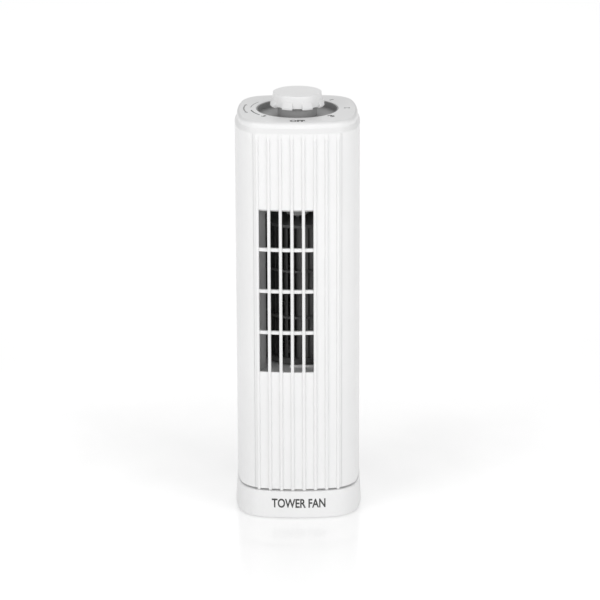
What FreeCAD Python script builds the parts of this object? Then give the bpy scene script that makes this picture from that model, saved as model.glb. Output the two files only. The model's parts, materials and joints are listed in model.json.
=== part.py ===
"""Mini tower fan: an oscillating crossflow blower with a rotary switch on top.

Millimetres, +Z up. The origin is on the floor, on the axis that the tower turns about.
The outlet faces -Y. Each sub-part is one STEP file in parts/.
"""
import FreeCAD, Part
import math
import os
from FreeCAD import Placement, Rotation, Vector

UP = Vector(0, 0, 1)
DOWN = Vector(0, 0, -1)

# ---- driving dimensions -------------------------------------------------------------

TOTAL_HEIGHT = 355.0
EPS = 0.2                    # clearance between fixed neighbours
BEARING_CLEARANCE = 0.03

# Tower plan: a rounded square with slightly bulged faces.
TOWER_HALF = 51.5            # axis to the middle of each face
FACE_RADIUS = 154.0
CORNER_RADIUS = 25.0
WALL = 2.0
OVERSHOOT = 5.0              # how far a cutting box runs past the outline

# Levels
BASE_TOP = 24.0
SEAM = 1.9                   # open seam between the base and the tower
TOWER_BOTTOM = BASE_TOP + SEAM
TOWER_FLOOR_TOP = TOWER_BOTTOM + 2.5
TOWER_TOP = 340.8
SHELL_TOP = TOWER_TOP - 9.3  # rim of the body shell; the cap stands on it

# Base
BASE_OUTSET = 1.5            # the foot of the base is this much larger than the tower all round
BASE_TOP_OUTSET = 0.3        # and its top this much
BASE_WALL = 1.9
BASE_EDGE_RADIUS = 1.2
BASE_RIM_BOTTOM = 1.0
BASE_ROOF_BOTTOM = BASE_TOP - 2.2
BASE_INNER = BASE_WALL - BASE_TOP_OUTSET   # inset of the base's inner face from the tower outline
PAN_BOTTOM = 1.5
PAN_TOP = 3.9
FOOT_RADIUS = 6.0
FOOT_PLACE = 34.0
FOOT_RECESS = 0.6
BASE_SCREW_X = 42.0
BASE_SCREW_Y = 14.0
BASE_SCREW_RECESS = 1.4
GLAND_Z = 11.5
GLAND_HOLE_RADIUS = 5.0
GLAND_BORE_RADIUS = 3.3
GLAND_LENGTH = 8.6

# Pivot: the tower floor turns on a tube of the base and is kept on it by a clip.
PIVOT_RADIUS = 8.0
PIVOT_BORE_RADIUS = 5.0
PIVOT_TOP = 30.6
PIVOT_CLEARANCE = 0.05
GLIDE_INNER = 44.5
GLIDE_OUTER = 47.5
GLIDE_CLEARANCE = 0.15
CLIP_GROOVE_RADIUS = PIVOT_RADIUS - 0.8
CLIP_BOTTOM = 28.8
CLIP_TOP = 29.8
CLIP_OUTER = 10.8
CLIP_MOUTH = 5.0

# Oscillation: a crank on the tower works in a radial slot of the base.
SWING_DEGREES = 30.0
CRANK_CENTRE = 27.0          # crank shaft from the tower's axis
CRANK_THROW = CRANK_CENTRE * math.sin(math.radians(SWING_DEGREES))
CRANK_LIMIT_DEGREES = 90.0 + SWING_DEGREES
CRANK_PIN_RADIUS = 2.0
CRANK_SHAFT_RADIUS = 3.0
CRANK_SHAFT_REACH = 7.5      # how far the shaft goes into its motor
CRANK_HUB_RADIUS = 5.0
CRANK_TIP_RADIUS = 3.6
CRANK_ARM_BOTTOM = 31.2
CRANK_ARM_TOP = 33.7
CRANK_SLOT_WIDTH = 9.8
CRANK_MOTOR_RADIUS = 18.0
CRANK_MOTOR_BOTTOM = 35.5
CRANK_MOTOR_TOP = 49.5
CRANK_POST_X = 22.0
CRANK_EAR_HALF_WIDTH = 4.0
CRANK_EAR_THICKNESS = 1.2

# Small self-tapping screws of the base, the crank motor and the duct
BOSS_RADIUS = 3.4
BOSS_BORE_RADIUS = 1.2
SMALL_SHANK_RADIUS = 1.15
SMALL_HEAD_RADIUS = 2.6
CLEARANCE_HOLE_RADIUS = 1.6

# Ribs of the front panel
RIB_COUNT = 8
RIB_PITCH = 9.43
RIB_WIDTH = 2.6
RIB_PROUD = 1.5
RIB_NOSE = 0.9               # height of the rounded nose
RIB_BOTTOM = 25.3
RIB_TAPER_BOTTOM = 325.0
RIB_TAPER_TOP = SHELL_TOP - 0.2
PANEL_HALF = 36.0
PANEL_GAP = 0.15
FLANGE = 1.8                 # lip of the panel that laps behind the body shell
FLANGE_LAP = 6.0

# Outlet: five columns of slots, left of the middle
OUTLET_FIRST_RIB = 0
OUTLET_COLUMNS = 5
OUTLET_BOTTOM = 128.6
OUTLET_TOP = 267.8
OUTLET_ROWS = 4
CROSSBAR_HEIGHT = 2.75
GRILLE_DEPTH = 3.4

# Air intake at the back
INTAKE_HALF = 31.0
INTAKE_BOTTOM = 104.0
INTAKE_TOP = 290.0
INTAKE_COLUMNS = 11
INTAKE_ROWS = 5
INTAKE_SLOT_WIDTH = 3.4
INTAKE_BORDER = 3.0
INTAKE_SINK = 0.3            # the grille lies this much below the shell's face

# Screws that hold the front and the body shell together
SHELL_SCREW_X = 40.0
SHELL_SCREW_Z = (70.0, 305.0)
PILLAR_RADIUS = 4.2
PILLAR_MEET_Y = -12.0
SHELL_SCREW_SEAT_Y = -6.0
SHELL_SCREW_SHANK = 1.4
SHELL_SCREW_HEAD = 3.0

# Cap
CAP_INSET = 1.9              # the top of the cap is this much smaller than the tower all round
CAP_SHOULDER = 4.0           # height of the slope between the shell's rim and the cap's upright side
CAP_EDGE_RADIUS = 3.0
CAP_ROOF = 2.2
CAP_SIDE = 1.8
CAP_SKIRT = 1.6
CAP_SKIRT_DEPTH = 6.0

# Dial well, knob and switch
WELL_RADIUS = 34.0
WELL_DEPTH = 5.0
WELL_FLOOR_TOP = TOWER_TOP - WELL_DEPTH
WELL_FLOOR = 1.6
WELL_WALL = 1.0
WELL_LIP_WIDTH = 2.6
COLLAR_RADIUS = 16.2         # ring inside the knob that hides its hub
COLLAR_WALL = 1.4
COLLAR_TOP = 346.5
KNOB_RADIUS = 20.0
KNOB_FLARE = 2.7
KNOB_FLARE_HEIGHT = 6.2
KNOB_FOOT_HEIGHT = 1.8
KNOB_GAP_RISE = 1.0          # the foot between two lobes is this much higher
KNOB_BOTTOM = 343.8
KNOB_LOBES = 8
KNOB_SHELL = 2.0
KNOB_HUB_RADIUS = 6.0
SPINDLE_RADIUS = 3.0
SPINDLE_FLAT = 1.6           # axis to the flat that drives the knob
SWITCH_TOP = 330.0
SWITCH_HEIGHT = 15.0
SWITCH_HALF_X = 13.0
SWITCH_HALF_Y = 11.0
SWITCH_NECK_RADIUS = 4.6
SWITCH_TABS_X = (-8.0, 0.0, 8.0)
SWITCH_TAB_LENGTH = 5.0
NUT_CORNER_RADIUS = 6.6
NUT_HEIGHT = 1.8

# Blower wheel
WHEEL_BOTTOM = 128.3
WHEEL_TOP = 248.3
RING_RADIUS = 28.0
BLADE_OUTER = 26.6
BLADE_INNER = 20.5
BLADE_LEAN = 5.2             # how far a blade's outer edge lies ahead of its inner edge
BLADE_BOW = 1.5
BLADE_THICKNESS = 0.9
BLADE_COUNT = 30
END_DISC = 2.4
LOWER_RING_HEIGHT = 4.5
MIDDLE_RING_COUNT = 2
MIDDLE_RING_HEIGHT = 1.8
HUB_RADIUS = 10.0
HUB_HEIGHT = 8.0
HUB_NECK_RADIUS = 8.0
SHAFT_RADIUS = 2.5
STUB_LENGTH = 12.0           # the upper stub shaft above the wheel

# Duct round the wheel
DUCT_FLOOR_TOP = 126.5
DUCT_PLATE = 2.5
DUCT_FLOOR_BOTTOM = DUCT_FLOOR_TOP - DUCT_PLATE
DUCT_CEILING_BOTTOM = 265.6
DUCT_CEILING_TOP = DUCT_CEILING_BOTTOM + DUCT_PLATE
DUCT_WALL = 1.6
SCROLL_X = -34.0
SCROLL_BEND_Y = -4.0
SCROLL_SIDE_RADIUS = 33.3
SCROLL_BACK_RADIUS = 32.2
SCROLL_END_DEGREES = 64.0
TONGUE_X = 14.8
TONGUE_RADIUS = RING_RADIUS + 2.2
TONGUE_TIP_DEGREES = -56.0
TONGUE_END_DEGREES = -32.0
DUCT_BOSS_RADIUS = 3.0
BUSH_RADIUS = 4.95
BUSH_MOUNT_RADIUS = 7.4
BUSH_CUP_RADIUS = 9.5
BUSH_BOTTOM = WHEEL_TOP + 5.0
BUSH_TOP = BUSH_BOTTOM + 8.0

# Blower motor, shaded pole
STACK_BOTTOM = 92.0
STACK_TOP = 110.0
STACK_HALF_WIDTH = 25.0
STACK_FRONT = -18.0
STACK_BACK = 36.0
YOKE_DEPTH = 10.0
ROTOR_RADIUS = 12.0
AIR_GAP = 0.4
POLE_DEPTH = 5.5
COIL_HALF_WIDTH = 13.0
COIL_BUILD = 8.0
MOTOR_SCREW_X = 19.5
MOTOR_SCREW_Y = -12.0
MOTOR_SCREW_SHANK = 1.5
MOTOR_HOLE_RADIUS = 1.8
BRACKET_STAND = 2.4          # the bracket's plate stands this far off the stack
BRACKET_FACE = 4.0
BRACKET_BOSS = 8.0
MOTOR_BUSH_RADIUS = 5.0

# Wiring
LEAD_RADIUS = 0.9
TERMINAL_PORTS_X = (-36.0, -28.0, -20.0)
TERMINAL_SCREW_Y = -16.0
TERMINAL_HALF_DEPTH = 6.0
TERMINAL_HEIGHT = 10.0
TERMINAL_MIDDLE_Z = TOWER_FLOOR_TOP + TERMINAL_HEIGHT / 2
RISER_X = 45.6               # the switch leads go up in the right corner of the tower


# ---- helpers ------------------------------------------------------------------------

def polar(radius, degrees, z=0.0):
    angle = math.radians(degrees)
    return Vector(radius * math.cos(angle), radius * math.sin(angle), z)


def line(start, end):
    return Part.LineSegment(start, end).toShape()


def arc(start, middle, end):
    return Part.Arc(start, middle, end).toShape()


def corner_place():
    """X and Y of the centre of a corner arc of the plan."""
    shift = FACE_RADIUS - TOWER_HALF
    reach = FACE_RADIUS - CORNER_RADIUS
    return (math.sqrt(2 * reach ** 2 - shift ** 2) - shift) / 2


def outline(inset, z):
    """Closed plan outline: four bulged faces and four tangent corner arcs."""
    shift = FACE_RADIUS - TOWER_HALF
    corner = corner_place()
    sweep = math.degrees(math.atan2(corner, corner + shift))

    def arc_about(centre, radius, start, end):
        return arc(centre + polar(radius, start), centre + polar(radius, (start + end) / 2),
                   centre + polar(radius, end))

    edges = []
    for turn in (0, 90, 180, 270):
        edges.append(arc_about(polar(-shift, turn, z), FACE_RADIUS - inset, turn - sweep, turn + sweep))
        edges.append(arc_about(polar(corner * math.sqrt(2), turn + 45, z), CORNER_RADIUS - inset,
                               turn + sweep, turn + 90 - sweep))
    return Part.Wire(edges)


def face_y(x, inset=0.0):
    """Y of the front outline at x, on the bulged face or the corner arc."""
    shift = FACE_RADIUS - TOWER_HALF
    corner = corner_place()
    face_limit = (FACE_RADIUS - inset) * corner / (FACE_RADIUS - CORNER_RADIUS)
    if abs(x) <= face_limit:
        return shift - math.sqrt((FACE_RADIUS - inset) ** 2 - x ** 2)
    return -corner - math.sqrt((CORNER_RADIUS - inset) ** 2 - (abs(x) - corner) ** 2)


def slab(inset, bottom, top):
    return Part.Face(outline(inset, bottom)).extrude(UP * (top - bottom))


def shell_ring(outer_inset, inner_inset, bottom, top):
    return slab(outer_inset, bottom, top).cut(slab(inner_inset, bottom, top))


def box(x_range, y_range, z_range):
    size = [span[1] - span[0] for span in (x_range, y_range, z_range)]
    return Part.makeBox(*size, Vector(x_range[0], y_range[0], z_range[0]))


def front_box(half_width, bottom, top):
    """Everything in front of the axis between two levels, to a half width."""
    return box((-half_width, half_width), (-TOWER_HALF - OVERSHOOT, 0), (bottom, top))


def rod(radius, bottom, top, x=0.0, y=0.0):
    return Part.makeCylinder(radius, top - bottom, Vector(x, y, bottom))


def tube(outer, inner, bottom, top, x=0.0, y=0.0):
    return rod(outer, bottom, top, x, y).cut(rod(inner, bottom, top, x, y))


def rod_y(radius, y_range, x, z):
    return Part.makeCylinder(radius, y_range[1] - y_range[0], Vector(x, y_range[0], z), Vector(0, 1, 0))


def joined(shapes):
    return shapes[0].multiFuse(shapes[1:]).removeSplitter()


def level_edges(shape, z):
    """Edges that lie in the horizontal plane at z."""
    near = 1e-4
    return [edge for edge in shape.Edges
            if abs(edge.BoundBox.ZMin - z) < near and abs(edge.BoundBox.ZMax - z) < near]


def upright_edges(shape):
    return [edge for edge in shape.Edges if edge.BoundBox.ZLength > 1]


def turned(shape, degrees):
    copy = shape.copy()
    copy.rotate(Vector(0, 0, 0), UP, degrees)
    return copy


def four_places(x, y):
    return [(side_x * x, side_y * y) for side_x in (-1, 1) for side_y in (-1, 1)]


def plan_prism(points, bottom, top):
    wire = Part.makePolygon([Vector(x, y, bottom) for x, y in points + points[:1]])
    return Part.Face(wire).extrude(UP * (top - bottom))


def screw(head_radius, head_height, shank_radius, length, place, direction):
    """Cross-recessed pan-head screw: place is the seat of its head, direction is where it points."""
    head = Part.makeCylinder(head_radius, head_height, place, direction * -1)
    rim = [edge for edge in head.Edges if len(edge.Vertexes) == 1]
    head = head.makeFillet(head_height * 0.45, rim[:1])
    shank = Part.makeCylinder(shank_radius, length, place, direction)
    recess_width = 0.5
    recess_depth = head_height * 0.5
    placement = Placement(place - direction * head_height, Rotation(UP, direction))
    for angle in (0, 90):
        bar = Part.makeBox(head_radius, recess_width, recess_depth,
                           Vector(-head_radius / 2, -recess_width / 2, 0))
        bar.rotate(Vector(0, 0, 0), UP, angle)
        bar.Placement = placement.multiply(bar.Placement)
        head = head.cut(bar)
    return head.fuse(shank)


def lead(points, bend):
    """Round insulated lead along straight runs joined by tangent arcs."""
    points = [Vector(*point) for point in points]
    edges = []
    start = points[0]
    for before, corner, after in zip(points, points[1:], points[2:]):
        arriving = (corner - before).normalize()
        leaving = (after - corner).normalize()
        turn = arriving.getAngle(leaving)
        setback = bend * math.tan(turn / 2)
        arc_start = corner - arriving * setback
        arc_end = corner + leaving * setback
        inward = (leaving - arriving).normalize()
        arc_middle = corner + inward * (bend / math.cos(turn / 2) - bend)
        edges.append(line(start, arc_start))
        edges.append(arc(arc_start, arc_middle, arc_end))
        start = arc_end
    edges.append(line(start, points[-1]))
    section = Part.Wire(Part.makeCircle(LEAD_RADIUS, points[0], points[1] - points[0]))
    return Part.Wire(edges).makePipeShell([section], True, True)


# ---- base ---------------------------------------------------------------------------

def crank_slot(bottom, top):
    """Radial slot in the base that the crank pin slides in."""
    half = CRANK_SLOT_WIDTH / 2
    reach = CRANK_THROW + CRANK_PIN_RADIUS + EPS
    round_y = CRANK_CENTRE + reach - half
    straight = box((-half, half), (CRANK_CENTRE - reach, round_y), (bottom, top))
    return straight.fuse(rod(half, bottom, top, 0, round_y))


def base_cover():
    """Plinth with the pivot tube, the crank slot and four screw bosses."""
    block = Part.makeLoft([outline(-BASE_OUTSET, BASE_RIM_BOTTOM), outline(-BASE_TOP_OUTSET, BASE_TOP)],
                          True, True)
    block = block.makeFillet(BASE_EDGE_RADIUS, level_edges(block, BASE_TOP))
    cover = block.cut(slab(BASE_INNER, BASE_RIM_BOTTOM, BASE_ROOF_BOTTOM))
    additions = [rod(PIVOT_RADIUS, BASE_ROOF_BOTTOM, PIVOT_TOP)]
    for x, y in four_places(BASE_SCREW_X, BASE_SCREW_Y):
        additions.append(tube(BOSS_RADIUS, BOSS_BORE_RADIUS, PAN_TOP, BASE_ROOF_BOTTOM, x, y))
    groove = tube(PIVOT_RADIUS + 1, CLIP_GROOVE_RADIUS, CLIP_BOTTOM, CLIP_TOP)
    hollow = rod(PIVOT_BORE_RADIUS, BASE_ROOF_BOTTOM, PIVOT_TOP)
    gland_hole = rod_y(GLAND_HOLE_RADIUS, (TOWER_HALF - 2 * OVERSHOOT, TOWER_HALF + OVERSHOOT), 0, GLAND_Z)
    return joined([cover] + additions).cut([groove, hollow, crank_slot(BASE_ROOF_BOTTOM, BASE_TOP),
                                            gland_hole])


def base_pan():
    """Bottom plate, sunk for the feet and the screw heads."""
    pan = slab(BASE_INNER + EPS, PAN_BOTTOM, PAN_TOP)
    cuts = []
    for x, y in four_places(FOOT_PLACE, FOOT_PLACE):
        cuts.append(rod(FOOT_RADIUS, PAN_BOTTOM, PAN_BOTTOM + FOOT_RECESS, x, y))
    for x, y in four_places(BASE_SCREW_X, BASE_SCREW_Y):
        cuts.append(rod(SMALL_HEAD_RADIUS + 0.3, PAN_BOTTOM, PAN_BOTTOM + BASE_SCREW_RECESS, x, y))
        cuts.append(rod(BOSS_BORE_RADIUS + EPS, PAN_BOTTOM, PAN_TOP, x, y))
    return pan.cut(cuts)


def rubber_feet():
    edge_radius = 0.5
    feet = []
    for x, y in four_places(FOOT_PLACE, FOOT_PLACE):
        pad = rod(FOOT_RADIUS, 0, PAN_BOTTOM + FOOT_RECESS, x, y)
        feet.append(pad.makeFillet(edge_radius, level_edges(pad, 0)))
    return Part.makeCompound(feet)


def base_screws():
    seat = PAN_BOTTOM + BASE_SCREW_RECESS
    head_height = 1.2
    length = 11.0
    return Part.makeCompound([screw(SMALL_HEAD_RADIUS, head_height, SMALL_SHANK_RADIUS, length,
                                    Vector(x, y, seat), UP)
                              for x, y in four_places(BASE_SCREW_X, BASE_SCREW_Y)])


def cord_gland():
    """Bush that lines the cable hole at the back of the base."""
    outer_face = TOWER_HALF + BASE_TOP_OUTSET
    inner_wall = TOWER_HALF - BASE_INNER - EPS
    collar_length = 1.8
    collar_height = 1.2
    body = rod_y(GLAND_HOLE_RADIUS - EPS / 2, (outer_face - GLAND_LENGTH, outer_face), 0, GLAND_Z)
    collar = rod_y(GLAND_HOLE_RADIUS + collar_height, (inner_wall - collar_length, inner_wall), 0, GLAND_Z)
    bore = rod_y(GLAND_BORE_RADIUS, (outer_face - 2 * GLAND_LENGTH, outer_face + OVERSHOOT), 0, GLAND_Z)
    return body.fuse(collar).cut(bore)


def glide_ring():
    """Ring on the base that the tower's floor slides on."""
    return tube(GLIDE_OUTER, GLIDE_INNER, BASE_TOP, TOWER_BOTTOM - GLIDE_CLEARANCE)


def pivot_clip():
    """Open ring in the groove of the pivot tube."""
    ring = tube(CLIP_OUTER, CLIP_GROOVE_RADIUS, CLIP_BOTTOM, CLIP_TOP)
    mouth = box((-CLIP_MOUTH / 2, CLIP_MOUTH / 2), (-CLIP_OUTER - 1, 0), (CLIP_BOTTOM, CLIP_TOP))
    return ring.cut(mouth)


# ---- tower floor, crank and crank motor ---------------------------------------------

def crank_window(bottom, top):
    """Curved window of the tower floor that the crank pin sweeps."""
    half = CRANK_PIN_RADIUS + 0.8
    spare_degrees = 12.0
    reach = 20.0
    ring = tube(CRANK_THROW + half, CRANK_THROW - half, bottom, top, 0, CRANK_CENTRE)
    fall = reach * math.tan(math.radians(CRANK_LIMIT_DEGREES + spare_degrees - 90))
    wedge = plan_prism([(0, CRANK_CENTRE), (-reach, CRANK_CENTRE - fall),
                        (0, CRANK_CENTRE - 2 * reach), (reach, CRANK_CENTRE - fall)], bottom, top)
    return ring.cut(wedge)


def tower_floor():
    """Floor of the tower: it turns on the pivot tube and carries the crank motor on two posts."""
    plate = slab(WALL + EPS, TOWER_BOTTOM, TOWER_FLOOR_TOP)
    plate = plate.cut([rod(PIVOT_RADIUS + PIVOT_CLEARANCE, TOWER_BOTTOM, TOWER_FLOOR_TOP),
                       crank_window(TOWER_BOTTOM, TOWER_FLOOR_TOP)])
    posts = [tube(BOSS_RADIUS, BOSS_BORE_RADIUS, TOWER_FLOOR_TOP, CRANK_MOTOR_BOTTOM, x, CRANK_CENTRE)
             for x in (-CRANK_POST_X, CRANK_POST_X)]
    return joined([plate] + posts)


def crank_motor():
    """Flat geared motor with two ears."""
    edge_radius = 1.2
    can = rod(CRANK_MOTOR_RADIUS, CRANK_MOTOR_BOTTOM, CRANK_MOTOR_TOP, 0, CRANK_CENTRE)
    can = can.makeFillet(edge_radius, level_edges(can, CRANK_MOTOR_TOP))
    ear_top = CRANK_MOTOR_BOTTOM + CRANK_EAR_THICKNESS
    ears = box((-CRANK_POST_X, CRANK_POST_X),
               (CRANK_CENTRE - CRANK_EAR_HALF_WIDTH, CRANK_CENTRE + CRANK_EAR_HALF_WIDTH),
               (CRANK_MOTOR_BOTTOM, ear_top))
    tips = []
    holes = [rod(CRANK_SHAFT_RADIUS + BEARING_CLEARANCE, CRANK_MOTOR_BOTTOM,
                 CRANK_MOTOR_BOTTOM + CRANK_SHAFT_REACH + 0.5, 0, CRANK_CENTRE)]
    for x in (-CRANK_POST_X, CRANK_POST_X):
        tips.append(rod(CRANK_EAR_HALF_WIDTH, CRANK_MOTOR_BOTTOM, ear_top, x, CRANK_CENTRE))
        holes.append(rod(CLEARANCE_HOLE_RADIUS, CRANK_MOTOR_BOTTOM, ear_top, x, CRANK_CENTRE))
    return joined([can, ears] + tips).cut(holes)


def crank_motor_screws():
    seat = CRANK_MOTOR_BOTTOM + CRANK_EAR_THICKNESS
    head_height = 1.6
    length = 7.0
    return Part.makeCompound([screw(SMALL_HEAD_RADIUS, head_height, SMALL_SHANK_RADIUS, length,
                                    Vector(x, CRANK_CENTRE, seat), DOWN)
                              for x in (-CRANK_POST_X, CRANK_POST_X)])


def crank_arm():
    pin_y = CRANK_CENTRE + CRANK_THROW
    levels = (CRANK_ARM_BOTTOM, CRANK_ARM_TOP)
    hub = rod(CRANK_HUB_RADIUS, *levels, 0, CRANK_CENTRE)
    tip = rod(CRANK_TIP_RADIUS, *levels, 0, pin_y)
    web = plan_prism([(-CRANK_HUB_RADIUS, CRANK_CENTRE), (-CRANK_TIP_RADIUS, pin_y),
                      (CRANK_TIP_RADIUS, pin_y), (CRANK_HUB_RADIUS, CRANK_CENTRE)], *levels)
    return joined([hub, tip, web]).cut([rod(CRANK_SHAFT_RADIUS, *levels, 0, CRANK_CENTRE),
                                        rod(CRANK_PIN_RADIUS, *levels, 0, pin_y)])


def crank_pin():
    stand = 0.3
    return rod(CRANK_PIN_RADIUS, BASE_ROOF_BOTTOM + stand, CRANK_ARM_TOP + stand, 0,
               CRANK_CENTRE + CRANK_THROW)


def crank_shaft():
    return rod(CRANK_SHAFT_RADIUS, CRANK_ARM_BOTTOM, CRANK_MOTOR_BOTTOM + CRANK_SHAFT_REACH, 0, CRANK_CENTRE)


def terminal_block():
    """Three-way block: screw wells on top, one port for each way in front."""
    end = 4.0
    well_radius = 1.7
    well_depth = 4.0
    port_radius = 1.2
    top = TOWER_FLOOR_TOP + TERMINAL_HEIGHT
    front = TERMINAL_SCREW_Y - TERMINAL_HALF_DEPTH
    block = box((TERMINAL_PORTS_X[0] - end, TERMINAL_PORTS_X[-1] + end),
                (front, TERMINAL_SCREW_Y + TERMINAL_HALF_DEPTH), (TOWER_FLOOR_TOP, top))
    cuts = []
    for x in TERMINAL_PORTS_X:
        cuts.append(rod(well_radius, top - well_depth, top, x, TERMINAL_SCREW_Y))
        cuts.append(rod_y(port_radius, (front - 1, TERMINAL_SCREW_Y - well_radius), x, TERMINAL_MIDDLE_Z))
    return block.cut(cuts)


# ---- shells -------------------------------------------------------------------------

def shell_screw_places():
    return [(x, z) for z in SHELL_SCREW_Z for x in (-SHELL_SCREW_X, SHELL_SCREW_X)]


def body_shell():
    """Sides and back of the tower, open at the front panel and at the intake."""
    block = slab(0, TOWER_BOTTOM, SHELL_TOP)
    shell = block.cut(slab(WALL, TOWER_BOTTOM, SHELL_TOP))
    intake = box((-INTAKE_HALF - PANEL_GAP, INTAKE_HALF + PANEL_GAP), (0, TOWER_HALF + OVERSHOOT),
                 (INTAKE_BOTTOM - PANEL_GAP, INTAKE_TOP + PANEL_GAP))
    shell = shell.cut([front_box(PANEL_HALF + PANEL_GAP, TOWER_BOTTOM, SHELL_TOP), intake])
    inside = slab(WALL / 2, TOWER_BOTTOM, SHELL_TOP)
    pillars = []
    bores = []
    for x, z in shell_screw_places():
        pillars.append(rod_y(PILLAR_RADIUS, (PILLAR_MEET_Y, TOWER_HALF), x, z).common(inside))
        bores.append(rod_y(SHELL_SCREW_SHANK + 0.3, (PILLAR_MEET_Y - 1, TOWER_HALF), x, z))
        bores.append(rod_y(SHELL_SCREW_HEAD + EPS, (SHELL_SCREW_SEAT_Y, TOWER_HALF + OVERSHOOT), x, z))
    return joined([shell] + pillars).cut(bores)


def shell_screws():
    head_height = 2.0
    length = 18.0
    return Part.makeCompound([screw(SHELL_SCREW_HEAD, head_height, SHELL_SCREW_SHANK, length,
                                    Vector(x, SHELL_SCREW_SEAT_Y, z), Vector(0, -1, 0))
                              for x, z in shell_screw_places()])


def rib_places():
    middle = (RIB_COUNT - 1) / 2
    return [(index - middle) * RIB_PITCH for index in range(RIB_COUNT)]


def rib(x):
    """One proud rib with a rounded nose, tapered away at its top."""
    half = RIB_WIDTH / 2
    root = face_y(x) + WALL / 2
    nose = face_y(x) - RIB_PROUD
    shoulder = nose + RIB_NOSE
    left_root = Vector(x - half, root, RIB_BOTTOM)
    left_shoulder = Vector(x - half, shoulder, RIB_BOTTOM)
    right_shoulder = Vector(x + half, shoulder, RIB_BOTTOM)
    right_root = Vector(x + half, root, RIB_BOTTOM)
    profile = Part.Wire([line(left_root, left_shoulder),
                         arc(left_shoulder, Vector(x, nose, RIB_BOTTOM), right_shoulder),
                         line(right_shoulder, right_root), line(right_root, left_root)])
    bar = Part.Face(profile).extrude(UP * (RIB_TAPER_TOP - RIB_BOTTOM))
    ahead = nose - RIB_PROUD
    above = RIB_TAPER_TOP + RIB_PROUD
    side = x - RIB_WIDTH
    taper = Part.Face(Part.makePolygon([
        Vector(side, nose, RIB_TAPER_BOTTOM), Vector(side, nose + RIB_PROUD, RIB_TAPER_TOP),
        Vector(side, nose + RIB_PROUD, above), Vector(side, ahead, above),
        Vector(side, ahead, RIB_TAPER_BOTTOM), Vector(side, nose, RIB_TAPER_BOTTOM)]))
    return bar.cut(taper.extrude(Vector(2 * RIB_WIDTH, 0, 0)))


def window_bar(x):
    """Deep part of a rib where it crosses the outlet."""
    half = RIB_WIDTH / 2
    return box((x - half, x + half), (face_y(x), face_y(x) + GRILLE_DEPTH),
               (OUTLET_BOTTOM - 1, OUTLET_TOP + 1))


def outlet_sides():
    places = rib_places()
    left = places[OUTLET_FIRST_RIB] + RIB_WIDTH / 2
    right = places[OUTLET_FIRST_RIB + OUTLET_COLUMNS] - RIB_WIDTH / 2
    return left, right


def crossbars():
    """Level bars between the rows of outlet slots, a little behind the ribs."""
    left, right = outlet_sides()
    row_pitch = (OUTLET_TOP - OUTLET_BOTTOM + CROSSBAR_HEIGHT) / OUTLET_ROWS
    sink = 0.4
    ring = shell_ring(sink, GRILLE_DEPTH - sink, OUTLET_BOTTOM, OUTLET_TOP)
    bars = []
    for row in range(1, OUTLET_ROWS):
        top = OUTLET_BOTTOM + row * row_pitch
        bars.append(ring.common(box((left - 1, right + 1), (-TOWER_HALF - OVERSHOOT, 0),
                                    (top - CROSSBAR_HEIGHT, top))))
    return bars


def front_grille():
    """Ribbed front panel with the outlet slots, its lapping flange and its screw pillars."""
    panel = shell_ring(0, WALL, TOWER_BOTTOM, SHELL_TOP)
    panel = panel.common(front_box(PANEL_HALF, TOWER_BOTTOM, SHELL_TOP))
    behind_shell = box((-PANEL_HALF - FLANGE_LAP, PANEL_HALF + FLANGE_LAP), (-TOWER_HALF, 0),
                       (TOWER_BOTTOM, SHELL_TOP))
    flange = shell_ring(WALL, WALL + FLANGE, TOWER_FLOOR_TOP + EPS, SHELL_TOP).common(behind_shell)
    flange = flange.cut(front_box(PANEL_HALF - FLANGE, TOWER_BOTTOM, SHELL_TOP))
    left, right = outlet_sides()
    window = box((left, right), (-TOWER_HALF - OVERSHOOT, -TOWER_HALF + 2 * OVERSHOOT),
                 (OUTLET_BOTTOM, OUTLET_TOP))
    places = rib_places()
    crossing = places[OUTLET_FIRST_RIB + 1:OUTLET_FIRST_RIB + OUTLET_COLUMNS]
    pieces = [joined([panel, flange]).cut(window)]
    pieces += [rib(x) for x in places]
    pieces += [window_bar(x) for x in crossing]
    pieces += crossbars()
    inside = slab(WALL, TOWER_BOTTOM, SHELL_TOP).common(behind_shell)
    bores = []
    for x, z in shell_screw_places():
        pieces.append(rod_y(PILLAR_RADIUS - 2 * EPS, (-TOWER_HALF, PILLAR_MEET_Y - EPS), x, z).common(inside))
        bores.append(rod_y(SHELL_SCREW_SHANK + 0.05, (-30, PILLAR_MEET_Y), x, z))
    return joined(pieces).cut(bores)


def rear_grille():
    """Air intake: a panel of upright slots in five rows."""
    span = box((-INTAKE_HALF, INTAKE_HALF), (0, TOWER_HALF + OVERSHOOT), (INTAKE_BOTTOM, INTAKE_TOP))
    panel = shell_ring(INTAKE_SINK, WALL + EPS, INTAKE_BOTTOM, INTAKE_TOP).common(span)
    pitch_x = 2 * (INTAKE_HALF - INTAKE_BORDER) / INTAKE_COLUMNS
    pitch_z = (INTAKE_TOP - INTAKE_BOTTOM - 2 * INTAKE_BORDER) / INTAKE_ROWS
    half_width = INTAKE_SLOT_WIDTH / 2
    bar_half = 2.0
    slots = []
    for column in range(INTAKE_COLUMNS):
        x = (column - (INTAKE_COLUMNS - 1) / 2) * pitch_x
        for row in range(INTAKE_ROWS):
            low = INTAKE_BOTTOM + INTAKE_BORDER + row * pitch_z + bar_half
            slots.append(box((x - half_width, x + half_width), (0, TOWER_HALF + OVERSHOOT),
                             (low, low + pitch_z - 2 * bar_half)))
    return panel.cut(slots)


# ---- top ----------------------------------------------------------------------------

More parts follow.
